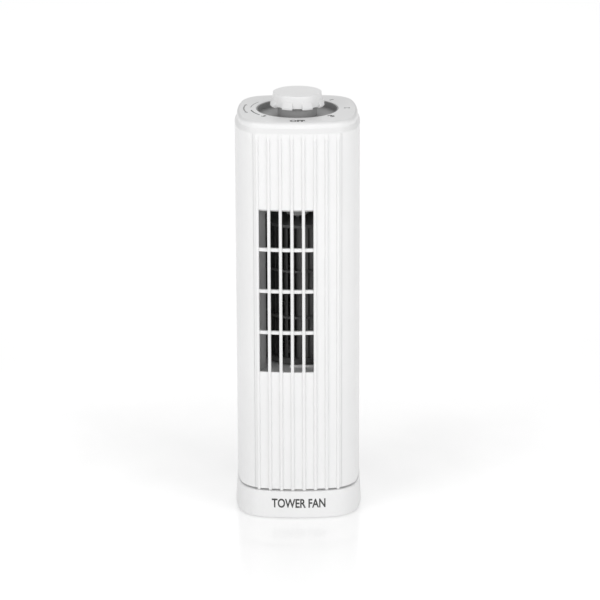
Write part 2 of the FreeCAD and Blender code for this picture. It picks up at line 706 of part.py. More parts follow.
def top_cap():
    """Lid with a sloping shoulder, a skirt inside the shell and a round dial opening."""
    shoulder_top = SHELL_TOP + CAP_SHOULDER
    upper = slab(CAP_INSET, shoulder_top, TOWER_TOP)
    upper = upper.makeFillet(CAP_EDGE_RADIUS, level_edges(upper, TOWER_TOP))
    shoulder = Part.makeLoft([outline(0, SHELL_TOP), outline(CAP_INSET, shoulder_top)], True, True)
    cap = upper.fuse(shoulder).cut(slab(CAP_INSET + CAP_SIDE, SHELL_TOP, TOWER_TOP - CAP_ROOF))
    skirt_outer = WALL + FLANGE + EPS
    skirt_inner = skirt_outer + CAP_SKIRT
    skirt = shell_ring(skirt_outer, skirt_inner, SHELL_TOP - CAP_SKIRT_DEPTH, TOWER_TOP - CAP_ROOF + EPS)
    ledge = shell_ring(CAP_INSET + CAP_SIDE - EPS, skirt_inner, SHELL_TOP, SHELL_TOP + CAP_SKIRT)
    opening = rod(WELL_RADIUS, SHELL_TOP - 2 * CAP_SKIRT_DEPTH, TOWER_TOP + 1)
    return joined([cap, ledge, skirt]).cut(opening)


def dial_well():
    """Grey cup under the knob, held under the cap by a lip, with a collar round the spindle."""
    outer = WELL_RADIUS - EPS / 2
    lip_top = TOWER_TOP - CAP_ROOF
    cup = rod(outer, WELL_FLOOR_TOP - WELL_FLOOR, TOWER_TOP - 0.3)
    cup = cup.cut(rod(outer - WELL_WALL, WELL_FLOOR_TOP, TOWER_TOP))
    lip = tube(outer + WELL_LIP_WIDTH, outer, lip_top - 1.8, lip_top)
    collar = tube(COLLAR_RADIUS, COLLAR_RADIUS - COLLAR_WALL, WELL_FLOOR_TOP - WELL_FLOOR, COLLAR_TOP)
    neck_hole = rod(SWITCH_NECK_RADIUS + EPS, WELL_FLOOR_TOP - WELL_FLOOR, WELL_FLOOR_TOP)
    return joined([cup, lip, collar]).cut(neck_hole)


def switch_body():
    """Rotary switch with a threaded neck through the well and three tags below."""
    corner_radius = 2.5
    bottom = SWITCH_TOP - SWITCH_HEIGHT
    body = box((-SWITCH_HALF_X, SWITCH_HALF_X), (-SWITCH_HALF_Y, SWITCH_HALF_Y), (bottom, SWITCH_TOP))
    body = body.makeFillet(corner_radius, upright_edges(body))
    neck = rod(SWITCH_NECK_RADIUS, SWITCH_TOP, WELL_FLOOR_TOP + 1.2)
    bore = rod(SPINDLE_RADIUS + 0.05, SWITCH_TOP - 8, TOWER_TOP)
    tag_half_thickness = 0.4
    tag_half_width = 3.0
    tags = [box((x - tag_half_thickness, x + tag_half_thickness), (-tag_half_width, tag_half_width),
                (bottom - SWITCH_TAB_LENGTH, bottom))
            for x in SWITCH_TABS_X]
    return joined([body, neck] + tags).cut(bore)


def switch_nut():
    corners = [polar(NUT_CORNER_RADIUS, degrees) for degrees in range(0, 360, 60)]
    top = WELL_FLOOR_TOP + NUT_HEIGHT
    hexagon = plan_prism([(corner.x, corner.y) for corner in corners], WELL_FLOOR_TOP, top)
    return hexagon.cut(rod(SWITCH_NECK_RADIUS + 0.05, WELL_FLOOR_TOP, top))


def switch_spindle():
    """D-shaped spindle from the switch into the knob."""
    spindle = rod(SPINDLE_RADIUS, SWITCH_TOP - 7.5, TOTAL_HEIGHT - KNOB_SHELL - 2 * EPS)
    flat = box((SPINDLE_FLAT, 2 * SPINDLE_RADIUS), (-2 * SPINDLE_RADIUS, 2 * SPINDLE_RADIUS),
               (TOWER_TOP - 2, TOTAL_HEIGHT))
    return spindle.cut(flat)


def knob_lobe():
    """One lobe: an eighth of a turn less its gap, flared at its foot."""
    root = KNOB_RADIUS - 1.5 * KNOB_SHELL
    foot = KNOB_RADIUS + KNOB_FLARE
    chamfer = 0.5
    profile = [(root, KNOB_BOTTOM), (foot - chamfer, KNOB_BOTTOM), (foot, KNOB_BOTTOM + chamfer),
               (foot, KNOB_BOTTOM + KNOB_FOOT_HEIGHT),
               (KNOB_RADIUS + 0.1, KNOB_BOTTOM + KNOB_FLARE_HEIGHT),
               (root, KNOB_BOTTOM + KNOB_FLARE_HEIGHT)]
    section = Part.Face(Part.makePolygon([Vector(x, 0, z) for x, z in profile + profile[:1]]))
    return section.revolve(Vector(0, 0, 0), UP, 180.0 / KNOB_LOBES)


def knob():
    """Round knob with eight lobes, hollow below; a gap between two lobes faces the front."""
    pitch = 360.0 / KNOB_LOBES
    foot_of_core = KNOB_BOTTOM + KNOB_GAP_RISE
    draft = 0.5
    top_edge_radius = 0.8
    core = Part.makeCone(KNOB_RADIUS + draft, KNOB_RADIUS, TOTAL_HEIGHT - foot_of_core,
                         Vector(0, 0, foot_of_core))
    first_turn = -90 + pitch / 4
    lobes = [turned(knob_lobe(), first_turn + index * pitch) for index in range(KNOB_LOBES)]
    body = joined([core] + lobes)
    body = body.makeFillet(top_edge_radius, level_edges(body, TOTAL_HEIGHT))
    body = body.cut(rod(KNOB_RADIUS - KNOB_SHELL, KNOB_BOTTOM, TOTAL_HEIGHT - KNOB_SHELL))
    hub = rod(KNOB_HUB_RADIUS, TOWER_TOP - 2.5, TOTAL_HEIGHT - KNOB_SHELL)
    return joined([body, hub]).cut(switch_spindle())


# ---- duct ---------------------------------------------------------------------------

def duct_plate(bottom, top):
    """Level plate across the tower, relieved for the front grille and for the leads."""
    plate = slab(WALL + EPS + 2.0, bottom, top)
    grille_relief = box((-TOWER_HALF, TOWER_HALF), (-TOWER_HALF, -TOWER_HALF + GRILLE_DEPTH + 4 * EPS),
                        (bottom, top))
    lead_notch = box((RISER_X - 4 * LEAD_RADIUS, TOWER_HALF), (2, 20), (bottom, top))
    return plate.cut([grille_relief, lead_notch])


def duct_screw_places():
    """Two bosses behind the scroll wall and one beside the tongue wall."""
    beside = DUCT_WALL + DUCT_BOSS_RADIUS - 2 * EPS
    behind = polar(SCROLL_SIDE_RADIUS + beside - EPS, 128.5)
    return [(SCROLL_X - beside, -6.0), (behind.x, behind.y), (TONGUE_X + beside, -38.0)]


def duct_floor():
    """Plate under the wheel; two posts under it hold the motor."""
    hang = STACK_TOP + BRACKET_FACE
    plate = duct_plate(DUCT_FLOOR_BOTTOM, DUCT_FLOOR_TOP)
    post_radius = 4.0
    posts = []
    holes = [rod(SHAFT_RADIUS + 1.5, DUCT_FLOOR_BOTTOM, DUCT_FLOOR_TOP)]
    for x in (-MOTOR_SCREW_X, MOTOR_SCREW_X):
        posts.append(rod(post_radius, hang, DUCT_FLOOR_BOTTOM, x, MOTOR_SCREW_Y))
        holes.append(rod(BOSS_BORE_RADIUS + 0.05, hang, DUCT_FLOOR_TOP - 1, x, MOTOR_SCREW_Y))
    for x, y in duct_screw_places():
        holes.append(rod(BOSS_BORE_RADIUS + EPS, DUCT_FLOOR_BOTTOM, DUCT_FLOOR_TOP, x, y))
    return joined([plate] + posts).cut(holes)


def duct_ceiling():
    """Plate over the wheel with a hanging cup for the upper bearing."""
    plate = duct_plate(DUCT_CEILING_BOTTOM, DUCT_CEILING_TOP)
    cup_bore = BUSH_MOUNT_RADIUS + EPS / 2
    cup = tube(BUSH_CUP_RADIUS, cup_bore, BUSH_BOTTOM, DUCT_CEILING_BOTTOM)
    cup_floor = tube(BUSH_CUP_RADIUS, SHAFT_RADIUS + 1, BUSH_BOTTOM - 1.5, BUSH_BOTTOM)
    plate = plate.cut(rod(cup_bore, DUCT_CEILING_BOTTOM, DUCT_CEILING_TOP))
    holes = [rod(BOSS_BORE_RADIUS + EPS, DUCT_CEILING_BOTTOM, DUCT_CEILING_TOP, x, y)
             for x, y in duct_screw_places()]
    return joined([plate, cup, cup_floor]).cut(holes)


def duct_wall(edges, thickness, places):
    """Upright wall on one side of a plan path, with a screw boss at each place."""
    face = Part.Wire(edges).makeOffset2D(thickness, fill=True, openResult=True, join=0)
    face.translate(UP * DUCT_FLOOR_TOP)
    wall = face.extrude(UP * (DUCT_CEILING_BOTTOM - DUCT_FLOOR_TOP))
    bosses = [rod(DUCT_BOSS_RADIUS, DUCT_FLOOR_TOP, DUCT_CEILING_BOTTOM, x, y) for x, y in places]
    bores = [rod(SMALL_SHANK_RADIUS - 0.05, DUCT_FLOOR_TOP, DUCT_CEILING_BOTTOM, x, y) for x, y in places]
    return joined([wall] + bosses).cut(bores)


def scroll_wall():
    """Rear wall of the blower: from the left of the outlet round the back of the wheel."""
    front = Vector(SCROLL_X, face_y(SCROLL_X - DUCT_WALL, WALL + FLANGE) + EPS, 0)
    side = Vector(SCROLL_X, SCROLL_BEND_Y, 0)
    join_degrees = 94.0
    back = polar(SCROLL_BACK_RADIUS, join_degrees)
    back_middle = polar(SCROLL_BACK_RADIUS, (join_degrees + SCROLL_END_DEGREES) / 2)
    edges = [line(front, side), arc(side, polar(SCROLL_SIDE_RADIUS, 140.0), back),
             arc(back, back_middle, polar(SCROLL_BACK_RADIUS, SCROLL_END_DEGREES))]
    return duct_wall(edges, -DUCT_WALL, duct_screw_places()[:2])


def tongue_wall():
    """Stabiliser: from the right of the outlet back to the wheel, then round beside it."""
    front = Vector(TONGUE_X, -TOWER_HALF + GRILLE_DEPTH + 1.5, 0)
    middle = polar(TONGUE_RADIUS, (TONGUE_TIP_DEGREES + TONGUE_END_DEGREES) / 2)
    tip = polar(TONGUE_RADIUS, TONGUE_TIP_DEGREES)
    edges = [line(front, tip), arc(tip, middle, polar(TONGUE_RADIUS, TONGUE_END_DEGREES))]
    return duct_wall(edges, DUCT_WALL, duct_screw_places()[2:])


def floor_rail():
    """Low white lip on the duct floor in front of the wheel."""
    back = -RING_RADIUS - 1.6
    return box((-7, TONGUE_X - 1.8), (back - 1.4, back), (DUCT_FLOOR_TOP, DUCT_FLOOR_TOP + 1.8))


def duct_screws():
    head_radius = 2.4
    head_height = 1.4
    length = 9.0
    screws = []
    for x, y in duct_screw_places():
        for z, direction in ((DUCT_FLOOR_BOTTOM, UP), (DUCT_CEILING_TOP, DOWN)):
            screws.append(screw(head_radius, head_height, SMALL_SHANK_RADIUS - 0.1, length,
                                Vector(x, y, z), direction))
    return Part.makeCompound(screws)


def bush_mount():
    """Rubber ring between the cup and the upper bearing."""
    return tube(BUSH_MOUNT_RADIUS, BUSH_RADIUS + 0.05, BUSH_BOTTOM, BUSH_TOP)


def upper_bush():
    return tube(BUSH_RADIUS, SHAFT_RADIUS + BEARING_CLEARANCE, BUSH_BOTTOM + 0.5, BUSH_TOP - 0.5)


# ---- blower wheel -------------------------------------------------------------------

def blade():
    """One forward-curved blade, a thin arc in plan."""
    half = BLADE_THICKNESS / 2
    middle_x = (BLADE_INNER + BLADE_OUTER) / 2
    middle_y = BLADE_LEAN / 2 - BLADE_BOW

    def side(offset):
        return [Vector(x, y + offset, WHEEL_BOTTOM)
                for x, y in ((BLADE_INNER, 0), (middle_x, middle_y), (BLADE_OUTER, BLADE_LEAN))]

    near = side(-half)
    far = side(half)
    profile = Part.Wire([arc(*near), line(near[2], far[2]), arc(*far), line(far[0], near[0])])
    return Part.Face(profile).extrude(UP * (WHEEL_TOP - WHEEL_BOTTOM))


def impeller():
    """Crossflow wheel: blades between two end rings, with two rings between them."""
    ring_inner = BLADE_INNER - 1.5
    disc_radius = BLADE_INNER - 0.8
    middle_radius = RING_RADIUS - 0.3
    top_disc_bottom = WHEEL_TOP - END_DISC
    pieces = [tube(RING_RADIUS, ring_inner, WHEEL_BOTTOM, WHEEL_BOTTOM + LOWER_RING_HEIGHT),
              tube(RING_RADIUS, ring_inner, top_disc_bottom, WHEEL_TOP),
              tube(disc_radius, HUB_NECK_RADIUS, WHEEL_BOTTOM, WHEEL_BOTTOM + END_DISC),
              tube(disc_radius, SHAFT_RADIUS, top_disc_bottom, WHEEL_TOP),
              tube(KNOB_HUB_RADIUS, SHAFT_RADIUS, WHEEL_TOP - HUB_HEIGHT, top_disc_bottom)]
    pitch = (WHEEL_TOP - WHEEL_BOTTOM) / (MIDDLE_RING_COUNT + 1)
    for index in range(MIDDLE_RING_COUNT):
        low = WHEEL_BOTTOM + (index + 1) * pitch - MIDDLE_RING_HEIGHT / 2
        pieces.append(tube(middle_radius, ring_inner, low, low + MIDDLE_RING_HEIGHT))
    pieces += [turned(blade(), index * 360.0 / BLADE_COUNT) for index in range(BLADE_COUNT)]
    return joined(pieces)


def impeller_hub():
    """Hub on the motor shaft, with a neck through the lower disc."""
    neck_top = WHEEL_BOTTOM + END_DISC
    head = tube(HUB_RADIUS, SHAFT_RADIUS, neck_top, neck_top + HUB_HEIGHT)
    neck = tube(HUB_NECK_RADIUS, SHAFT_RADIUS, WHEEL_BOTTOM - 0.6, neck_top)
    return joined([head, neck])


def drive_shaft():
    return rod(SHAFT_RADIUS, STACK_BOTTOM - 14, WHEEL_BOTTOM + END_DISC + HUB_HEIGHT - 0.5)


def top_stub():
    return rod(SHAFT_RADIUS, WHEEL_TOP - HUB_HEIGHT, WHEEL_TOP + STUB_LENGTH)


# ---- blower motor -------------------------------------------------------------------

def motor_stator():
    """C-shaped lamination stack round the rotor, with a yoke bar for the coil."""
    corner_radius = 3.0
    stack = box((-STACK_HALF_WIDTH, STACK_HALF_WIDTH), (STACK_FRONT, STACK_BACK), (STACK_BOTTOM, STACK_TOP))
    stack = stack.makeFillet(corner_radius, upright_edges(stack))
    window = box((-COIL_HALF_WIDTH - 1, COIL_HALF_WIDTH + 1),
                 (ROTOR_RADIUS + POLE_DEPTH, STACK_BACK - YOKE_DEPTH), (STACK_BOTTOM, STACK_TOP))
    bore = rod(ROTOR_RADIUS + AIR_GAP, STACK_BOTTOM, STACK_TOP)
    holes = [rod(MOTOR_HOLE_RADIUS, STACK_BOTTOM, STACK_TOP, x, MOTOR_SCREW_Y)
             for x in (-MOTOR_SCREW_X, MOTOR_SCREW_X)]
    return stack.cut([window, bore] + holes)


def motor_coil():
    """Taped winding round the yoke bar."""
    edge_radius = 3.5
    fit = EPS / 2
    front = STACK_BACK - YOKE_DEPTH - COIL_BUILD
    block = box((-COIL_HALF_WIDTH, COIL_HALF_WIDTH), (front, STACK_BACK + COIL_BUILD),
                (STACK_BOTTOM - COIL_BUILD, STACK_TOP + COIL_BUILD))
    block = block.makeFillet(edge_radius, [edge for edge in block.Edges if edge.BoundBox.XLength > 1])
    yoke = box((-STACK_HALF_WIDTH, STACK_HALF_WIDTH), (STACK_BACK - YOKE_DEPTH - fit, STACK_BACK + fit),
               (STACK_BOTTOM - fit, STACK_TOP + fit))
    return block.cut(yoke)


def motor_rotor():
    return tube(ROTOR_RADIUS, SHAFT_RADIUS, STACK_BOTTOM - 1, STACK_TOP + 1)


def motor_bracket(stack_face, direction):
    """Bridge over one end of the rotor, with the bearing boss in its middle."""
    def between(near, far):
        return sorted((stack_face + direction * near, stack_face + direction * far))

    bar_half_depth = 5.0
    bar = (MOTOR_SCREW_Y - bar_half_depth, MOTOR_SCREW_Y + bar_half_depth)
    leg_half = 4.5
    tongue_half = 9.0
    pieces = [box((-STACK_HALF_WIDTH + 1, STACK_HALF_WIDTH - 1), bar, between(BRACKET_STAND, BRACKET_FACE)),
              box((-tongue_half, tongue_half), (bar[1] - 1, HUB_NECK_RADIUS),
                  between(BRACKET_STAND, BRACKET_FACE)),
              rod(HUB_NECK_RADIUS, *between(BRACKET_STAND, BRACKET_BOSS))]
    holes = [rod(MOTOR_BUSH_RADIUS, *between(BRACKET_STAND, BRACKET_BOSS))]
    for x in (-MOTOR_SCREW_X, MOTOR_SCREW_X):
        pieces.append(box((x - leg_half, x + leg_half), bar, between(0, BRACKET_STAND)))
        holes.append(rod(MOTOR_HOLE_RADIUS, *between(0, BRACKET_FACE), x, MOTOR_SCREW_Y))
    return joined(pieces).cut(holes)


def motor_bushes():
    """Sintered bearings, pressed into the bracket bosses."""
    bore = SHAFT_RADIUS + BEARING_CLEARANCE
    return Part.makeCompound([
        tube(MOTOR_BUSH_RADIUS, bore, STACK_BOTTOM - BRACKET_BOSS, STACK_BOTTOM - BRACKET_STAND),
        tube(MOTOR_BUSH_RADIUS, bore, STACK_TOP + BRACKET_STAND, STACK_TOP + BRACKET_BOSS)])


def motor_screws():
    """Through screws from below, turned down to their thread where they enter the posts."""
    head_radius = 3.0
    head_height = 2.0
    length = 29.0
    thread_start = STACK_TOP + BRACKET_FACE
    screws = []
    for x in (-MOTOR_SCREW_X, MOTOR_SCREW_X):
        seat = Vector(x, MOTOR_SCREW_Y, STACK_BOTTOM - BRACKET_FACE)
        bolt = screw(head_radius, head_height, MOTOR_SCREW_SHANK, length, seat, UP)
        screws.append(bolt.cut(tube(2 * MOTOR_SCREW_SHANK, BOSS_BORE_RADIUS, thread_start,
                                    thread_start + length, x, MOTOR_SCREW_Y)))
    return Part.makeCompound(screws)


# ---- leads --------------------------------------------------------------------------

def switch_leads():
    """Three leads from the terminal block up the right side to the switch tags."""
    start_z = TOWER_FLOOR_TOP + TERMINAL_HEIGHT - 0.5
    end_z = SWITCH_TOP - SWITCH_HEIGHT - SWITCH_TAB_LENGTH - 0.1
    bend = 5.0
    leads = []
    for index, tab_x in enumerate(SWITCH_TABS_X):
        riser_y = 6.0 + 3.0 * index
        low_z = 58.0 + 3.0 * index
        high_z = 283.0 + 4.0 * index
        port_x = TERMINAL_PORTS_X[index]
        leads.append(lead([(port_x, TERMINAL_SCREW_Y, start_z), (port_x, TERMINAL_SCREW_Y, low_z),
                           (RISER_X, riser_y, low_z), (RISER_X, riser_y, high_z),
                           (tab_x, 0, high_z), (tab_x, 0, end_z)], bend))
    return Part.makeCompound(leads)


def motor_leads():
    """Two leads from the blower motor's coil down to the front of the terminal block."""
    coil_x = -COIL_HALF_WIDTH - 0.1
    coil_z = STACK_BOTTOM - 5.0
    cross_z = 54.0
    front_y = -30.0
    end_y = TERMINAL_SCREW_Y - 2.2
    bend = 3.0
    leads = []
    for port_x, coil_y in zip(TERMINAL_PORTS_X[:2], (24.0, 28.0)):
        cross_x = port_x + 4.0
        leads.append(lead([(coil_x, coil_y, coil_z), (cross_x, coil_y, coil_z),
                           (cross_x, coil_y, cross_z), (cross_x, front_y, cross_z),
                           (port_x, front_y, TERMINAL_MIDDLE_Z), (port_x, end_y, TERMINAL_MIDDLE_Z)], bend))
    return Part.makeCompound(leads)


def crank_leads():
    """Two leads from the crank motor to the back of the terminal block."""
    start_z = CRANK_MOTOR_TOP - 6.0
    down_y = -3.5
    end_y = TERMINAL_SCREW_Y + TERMINAL_HALF_DEPTH + 0.1
    bend = 3.0
    leads = []
    for x, y in ((-32.0, CRANK_CENTRE + 1.5), (-29.0, CRANK_CENTRE - 1.5)):
        leads.append(lead([(-CRANK_MOTOR_RADIUS, y, start_z), (x, y, start_z), (x, down_y, start_z),
                           (x, down_y, TERMINAL_MIDDLE_Z), (x, end_y, TERMINAL_MIDDLE_Z)], bend))
    return Part.makeCompound(leads)


# ---- parts --------------------------------------------------------------------------

SUBPARTS = {
    "base_cover": base_cover,
    "base_pan": base_pan,
    "rubber_feet": rubber_feet,
    "base_screws": base_screws,
    "cord_gland": cord_gland,
    "glide_ring": glide_ring,
    "pivot_clip": pivot_clip,
    "tower_floor": tower_floor,
    "crank_motor": crank_motor,
    "crank_motor_screws": crank_motor_screws,
    "crank_arm": crank_arm,
    "crank_pin": crank_pin,
    "crank_shaft": crank_shaft,
    "terminal_block": terminal_block,
    "body_shell": body_shell,
    "shell_screws": shell_screws,
    "front_grille": front_grille,
    "rear_grille": rear_grille,
    "top_cap": top_cap,
    "dial_well": dial_well,
    "switch_body": switch_body,
    "switch_nut": switch_nut,
    "switch_spindle": switch_spindle,
    "knob": knob,
    "duct_floor": duct_floor,
    "duct_ceiling": duct_ceiling,
    "scroll_wall": scroll_wall,
    "tongue_wall": tongue_wall,
    "floor_rail": floor_rail,
    "duct_screws": duct_screws,
    "bush_mount": bush_mount,
    "upper_bush": upper_bush,
    "impeller": impeller,
    "impeller_hub": impeller_hub,
    "drive_shaft": drive_shaft,
    "top_stub": top_stub,
    "motor_stator": motor_stator,
    "motor_coil": motor_coil,
    "motor_rotor": motor_rotor,
    "motor_bracket_top": lambda: motor_bracket(STACK_TOP, 1),
    "motor_bracket_bottom": lambda: motor_bracket(STACK_BOTTOM, -1),
    "motor_bushes": motor_bushes,
    "motor_screws": motor_screws,
    "switch_leads": switch_leads,
    "motor_leads": motor_leads,
    "crank_leads": crank_leads,
}


def main():
    os.makedirs("parts", exist_ok=True)
    for node, make in SUBPARTS.items():
        shape = make()
        extent = shape.BoundBox
        print("%-22s solids %d valid %s volume %9.1f  x %.1f..%.1f y %.1f..%.1f z %.1f..%.1f" % (
            node, len(shape.Solids), shape.isValid(), shape.Volume, extent.XMin, extent.XMax,
            extent.YMin, extent.YMax, extent.ZMin, extent.ZMax))
        shape.exportStep("parts/" + node + ".step")


main()
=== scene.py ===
"""Looks of the mini tower fan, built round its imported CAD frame. Metres, +Z up, front at -Y."""
import json
import math

import bpy
from mathutils import Matrix, Vector
from mathutils.bvhtree import BVHTree


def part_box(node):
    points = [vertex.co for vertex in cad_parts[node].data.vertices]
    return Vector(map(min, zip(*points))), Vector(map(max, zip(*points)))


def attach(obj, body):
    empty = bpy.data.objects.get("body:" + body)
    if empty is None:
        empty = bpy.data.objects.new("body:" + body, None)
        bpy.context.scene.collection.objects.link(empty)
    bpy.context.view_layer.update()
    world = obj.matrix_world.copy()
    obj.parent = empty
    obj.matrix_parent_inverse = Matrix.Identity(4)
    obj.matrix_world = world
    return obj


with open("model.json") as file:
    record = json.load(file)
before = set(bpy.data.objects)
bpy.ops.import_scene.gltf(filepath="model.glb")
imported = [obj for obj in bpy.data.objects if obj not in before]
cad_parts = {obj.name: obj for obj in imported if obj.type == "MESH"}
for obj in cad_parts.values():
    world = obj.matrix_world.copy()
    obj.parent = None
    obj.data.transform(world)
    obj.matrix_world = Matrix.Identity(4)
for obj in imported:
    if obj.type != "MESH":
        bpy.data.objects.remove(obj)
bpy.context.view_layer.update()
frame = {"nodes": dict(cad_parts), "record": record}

MM = 0.001

nodes = frame["nodes"]
record = frame["record"]


# ---- sizes read from the frame ------------------------------------------------------

CAP_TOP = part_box("top_cap")[1][2]
base_low, base_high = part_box("base_cover")


# ---- camera -------------------------------------------------------------------------

CAMERA_DISTANCE = 2.4478
CAMERA_HEIGHT = 0.9372
CAMERA_SIDE = 0.0017
CAMERA_PITCH_DEGREES = 17.284
CAMERA_ROLL_DEGREES = 0.19
CAMERA_LENS_MM = 183.58


def make_camera():
    data = bpy.data.cameras.new("camera")
    data.lens = CAMERA_LENS_MM
    data.sensor_width = 36.0
    data.clip_start = 0.1
    data.clip_end = 50.0
    camera = bpy.data.objects.new("camera", data)
    bpy.context.scene.collection.objects.link(camera)
    place = Matrix.Translation((CAMERA_SIDE, -CAMERA_DISTANCE, CAMERA_HEIGHT))
    pitch = Matrix.Rotation(math.radians(90.0 - CAMERA_PITCH_DEGREES), 4, "X")
    roll = Matrix.Rotation(math.radians(-CAMERA_ROLL_DEGREES), 4, "Z")
    camera.matrix_world = place @ pitch @ roll
    bpy.context.scene.camera = camera


# ---- materials ----------------------------------------------------------------------

class Nodes:
    """Short calls for building one material's node tree."""

    def __init__(self, name):
        self.material = bpy.data.materials.new(name)
        self.material.use_nodes = True
        self.tree = self.material.node_tree
        self.shader = self.tree.nodes["Principled BSDF"]
        self.coordinates = self.tree.nodes.new("ShaderNodeTexCoord").outputs["Object"]

    def link(self, source, target):
        self.tree.links.new(source, target)

    def noise(self, scale, detail=2.0, roughness=0.5, stretch=None):
        node = self.tree.nodes.new("ShaderNodeTexNoise")
        node.inputs["Scale"].default_value = scale
        node.inputs["Detail"].default_value = detail
        node.inputs["Roughness"].default_value = roughness
        source = self.coordinates
        if stretch is not None:
            mapping = self.tree.nodes.new("ShaderNodeMapping")
            mapping.inputs["Scale"].default_value = stretch
            self.link(source, mapping.inputs["Vector"])
            source = mapping.outputs["Vector"]
        self.link(source, node.inputs["Vector"])
        return node.outputs["Fac"]

    def ramp(self, source, low, high, low_at=0.3, high_at=0.7):
        node = self.tree.nodes.new("ShaderNodeValToRGB")
        first, last = node.color_ramp.elements
        first.position, first.color = low_at, (*low, 1.0)
        last.position, last.color = high_at, (*high, 1.0)
        self.link(source, node.inputs["Fac"])
        return node.outputs["Color"]

    def spread(self, source, low, high, low_at=0.3, high_at=0.7):
        node = self.tree.nodes.new("ShaderNodeMapRange")
        node.inputs["From Min"].default_value = low_at
        node.inputs["From Max"].default_value = high_at
        node.inputs["To Min"].default_value = low
        node.inputs["To Max"].default_value = high
        self.link(source, node.inputs["Value"])
        return node.outputs["Result"]

    def bump(self, source, depth_mm, normal=None):
        node = self.tree.nodes.new("ShaderNodeBump")
        node.inputs["Strength"].default_value = 1.0
        node.inputs["Distance"].default_value = depth_mm * MM
        self.link(source, node.inputs["Height"])
        if normal is not None:
            self.link(normal, node.inputs["Normal"])
        return node.outputs["Normal"]

    def finish(self, colour=None, roughness=None, normal=None, **constants):
        if colour is not None:
            self.link(colour, self.shader.inputs["Base Color"])
        if roughness is not None:
            self.link(roughness, self.shader.inputs["Roughness"])
        if normal is not None:
            self.link(normal, self.shader.inputs["Normal"])
        for socket, value in constants.items():
            self.shader.inputs[socket.replace("_", " ")].default_value = value
        return self.material


def tint(grey, warm=0.0):
    """A grey with a slight warm or cool cast."""
    return (grey + warm, grey, grey - warm)


def moulded_plastic(name, grey, roughness, grain_mm, grain_depth_mm, variation, warm):
    """Injection-moulded plastic: slow sink waves, fine mould grain and patchy gloss."""
    n = Nodes(name)
    cloud = n.noise(14.0, detail=3.0)
    colour = n.ramp(cloud, tint(grey - variation, warm), tint(grey + variation * 0.5, warm))
    gloss = n.spread(n.noise(90.0, detail=4.0), roughness - 0.02, roughness + 0.04)
    waves = n.bump(n.noise(45.0, detail=1.0), 0.015)
    grain = n.bump(n.noise(1.0 / (grain_mm * MM), detail=2.0), grain_depth_mm, waves)
    return n.finish(colour, gloss, grain, IOR=1.5)


def rubber(name, grey):
    n = Nodes(name)
    colour = n.ramp(n.noise(60.0, detail=4.0), tint(grey * 0.85), tint(grey * 1.2))
    gloss = n.spread(n.noise(400.0), 0.62, 0.85)
    grain = n.bump(n.noise(2500.0, detail=3.0), 0.03)
    return n.finish(colour, gloss, grain, IOR=1.48)


def metal(name, colour_rgb, roughness, stretch, scratch_depth_mm=0.004):
    """Plated, drawn or ground metal with fine lines along one direction."""
    n = Nodes(name)
    lines = n.noise(900.0, detail=3.0, stretch=stretch)
    dark = tuple(channel * 0.86 for channel in colour_rgb)
    colour = n.ramp(n.noise(70.0, detail=4.0), dark, colour_rgb)
    gloss = n.spread(lines, roughness - 0.08, roughness + 0.12)
    return n.finish(colour, gloss, n.bump(lines, scratch_depth_mm), Metallic=1.0)


def laminations(name):
    """Edge of a stack of steel sheets, as bands about 3 mm high."""
    n = Nodes(name)
    wave = n.tree.nodes.new("ShaderNodeTexWave")
    wave.bands_direction = "Z"
    wave.inputs["Scale"].default_value = 100.0
    wave.inputs["Distortion"].default_value = 0.3
    n.link(n.coordinates, wave.inputs["Vector"])
    colour = n.ramp(wave.outputs["Fac"], (0.10, 0.105, 0.115), (0.30, 0.31, 0.33), 0.2, 0.8)
    gloss = n.spread(n.noise(500.0), 0.4, 0.6)
    return n.finish(colour, gloss, n.bump(wave.outputs["Fac"], 0.06), Metallic=0.9)


def tape(name):
    """Yellow insulating tape in broad, soft bands."""
    n = Nodes(name)
    wave = n.tree.nodes.new("ShaderNodeTexWave")
    wave.bands_direction = "X"
    wave.inputs["Scale"].default_value = 12.0
    wave.inputs["Distortion"].default_value = 0.6
    n.link(n.coordinates, wave.inputs["Vector"])
    colour = n.ramp(wave.outputs["Fac"], (0.62, 0.42, 0.06), (0.78, 0.56, 0.12), 0.2, 0.8)
    gloss = n.spread(n.noise(300.0), 0.25, 0.45)
    return n.finish(colour, gloss, n.bump(wave.outputs["Fac"], 0.08), IOR=1.5)


def printed_ink(name, grey):
    n = Nodes(name)
    colour = n.ramp(n.noise(900.0, detail=4.0), tint(grey * 0.85), tint(grey * 1.15))
    gloss = n.spread(n.noise(1200.0), 0.45, 0.65)
    return n.finish(colour, gloss, n.bump(n.noise(3000.0), 0.01), IOR=1.45)


WHITE = 0.80

